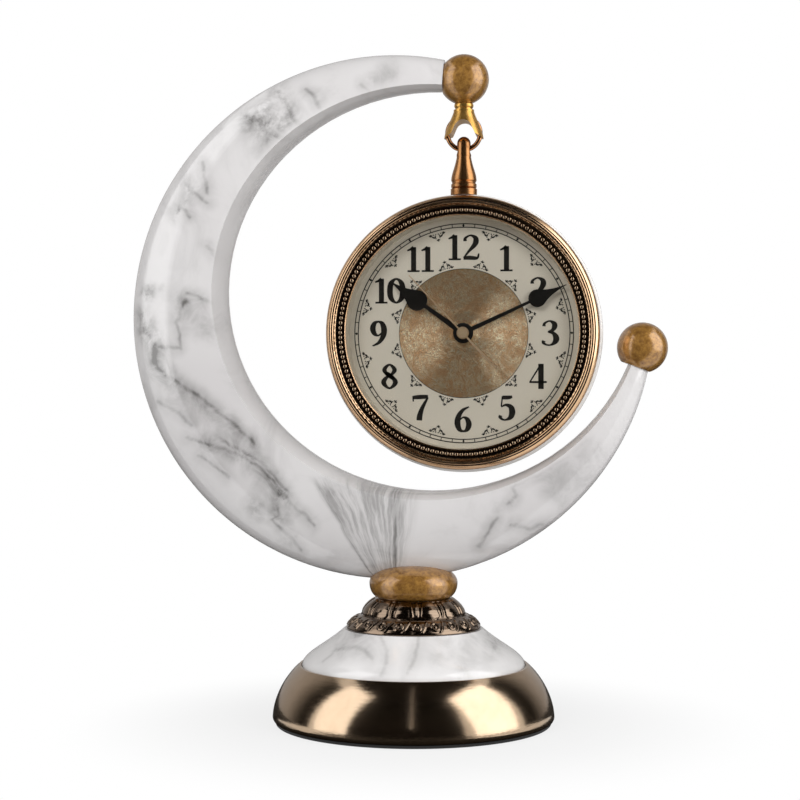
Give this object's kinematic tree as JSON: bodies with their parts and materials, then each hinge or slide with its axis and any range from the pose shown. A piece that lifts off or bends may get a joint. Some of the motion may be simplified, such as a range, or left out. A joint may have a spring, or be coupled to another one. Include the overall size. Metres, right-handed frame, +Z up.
{
  "type": "crescent desk clock",
  "caption": "Crescent stand on a round weighted base, with a ball at each tip and a round quartz clock hanging from a claw hook and ring inside the crescent.",
  "frame": {"origin": "centre of the floor pad's underside", "axes": "+Z up, +X to the viewer's right, front faces -Y"},
  "size_m": [0.2796, 0.146, 0.3467],
  "materials": {
    "pad_rubber": "matte",
    "skirt_bronze": "circularly brushed, antiqued",
    "iron": "as cast",
    "steel": "zinc plated",
    "marble_glaze": "glossy white with grey veins",
    "collar_bronze": "antiqued cast relief",
    "old_gold": "mottled antique gold, semi-gloss",
    "claw_gold": "polished",
    "copper": "polished copper plate, darkened in the grooves",
    "case_white": "glossy",
    "clear": "clear",
    "black_rubber": "matte",
    "dial_print": "satin champagne with gold centre and black print",
    "hand_black": "satin",
    "brass_plain": "turned",
    "movement_black": "fine texture",
    "wheel_plastic": "moulded",
    "winding": "enamelled wire",
    "board_green": "solder mask",
    "cell_wrap": "plain printed sleeve with a metal end",
    "nickel": "nickel plated"
  },
  "bodies": {
    "stand": {"base_pad": "pad_rubber", "base_skirt": "skirt_bronze", "ballast_disc": "iron", "rod_washer": "steel", "rod_nut": "steel", "tie_rod": "steel", "marble_dome": "marble_glaze", "leaf_collar": "collar_bronze", "saddle_bead": "old_gold", "crescent": "marble_glaze", "keel_insert": "brass_plain", "upper_finial": "old_gold", "lower_finial": "old_gold", "upper_stud": "steel", "lower_stud": "steel", "claw_hook": "claw_gold"},
    "ring": {"hang_ring": "copper"},
    "clock": {"bail_eye": "copper", "pendant_stem": "copper", "stem_screw": "steel", "case_shell": "case_white", "rear_cover": "case_white", "cover_screws": "steel", "bezel": "copper", "bead_row": "copper", "glass": "clear", "glass_gasket": "black_rubber", "inner_ring": "case_white", "dial": "dial_print", "dial_nut": "brass_plain", "rubber_washer": "black_rubber", "movement_box": "movement_black", "movement_lid": "movement_black", "middle_plate": "wheel_plastic", "stator": "steel", "coil": "winding", "circuit_board": "board_green", "contact_negative": "nickel", "contact_positive": "nickel"},
    "minute": {"minute_hand": "hand_black", "minute_arbor": "brass_plain"},
    "hour": {"hour_hand": "hand_black", "hour_wheel": "wheel_plastic"},
    "setting": {"minute_wheel": "wheel_plastic", "setting_knob": "movement_black"},
    "second": {"second_hand": "brass_plain", "second_arbor": "brass_plain"},
    "third": {"third_wheel": "wheel_plastic"},
    "centre": {"centre_wheel": "brass_plain"},
    "middle": {"middle_wheel": "wheel_plastic"},
    "rotor_body": {"rotor": "wheel_plastic"},
    "battery": {"cell": "cell_wrap"}
  },
  "joints": [
    {"name": "ring_roll", "type": "hinge", "parent": "stand", "child": "ring", "pos_m": [0.02625, 0, 0.30547], "axis": [0, 1, 0], "range_deg": [-3, 27]},
    {"name": "clock_swing", "type": "hinge", "parent": "ring", "child": "clock", "pos_m": [0.02625, 0, 0.29697], "axis": [1, 0, 0], "range_deg": [-45, 45]},
    {"name": "minute_turn", "type": "hinge", "parent": "clock", "child": "minute", "pos_m": [0.02625, 0, 0.20177], "axis": [0, 1, 0], "continuous": true},
    {"name": "hour_turn", "type": "hinge", "parent": "clock", "child": "hour", "pos_m": [0.02625, 0, 0.20177], "axis": [0, 1, 0], "continuous": true},
    {"name": "setting_turn", "type": "hinge", "parent": "clock", "child": "setting", "pos_m": [0.03402, 0, 0.20954], "axis": [0, 1, 0], "continuous": true},
    {"name": "second_turn", "type": "hinge", "parent": "clock", "child": "second", "pos_m": [0.02625, 0, 0.20177], "axis": [0, 1, 0], "continuous": true},
    {"name": "third_turn", "type": "hinge", "parent": "clock", "child": "third", "pos_m": [0.01741, 0, 0.20687], "axis": [0, 1, 0], "continuous": true},
    {"name": "centre_turn", "type": "hinge", "parent": "clock", "child": "centre", "pos_m": [0.02625, 0, 0.20177], "axis": [0, 1, 0], "continuous": true},
    {"name": "middle_turn", "type": "hinge", "parent": "clock", "child": "middle", "pos_m": [0.0332, 0, 0.1999], "axis": [0, 1, 0], "continuous": true},
    {"name": "rotor_turn", "type": "hinge", "parent": "clock", "child": "rotor_body", "pos_m": [0.03958, 0, 0.1999], "axis": [0, 1, 0], "continuous": true},
    {"name": "cell_lift", "type": "slide", "parent": "clock", "child": "battery", "axis": [0, 1, 0], "range_m": [0, 0.022]}
  ],
  "couplings": [
    {"joint": "hour_turn", "follows": "minute_turn", "ratio": 0.083333},
    {"joint": "setting_turn", "follows": "minute_turn", "ratio": -0.33333},
    {"joint": "third_turn", "follows": "second_turn", "ratio": -0.13333},
    {"joint": "centre_turn", "follows": "second_turn", "ratio": 0.016667},
    {"joint": "middle_turn", "follows": "second_turn", "ratio": -4},
    {"joint": "rotor_turn", "follows": "second_turn", "ratio": 30}
  ]
}
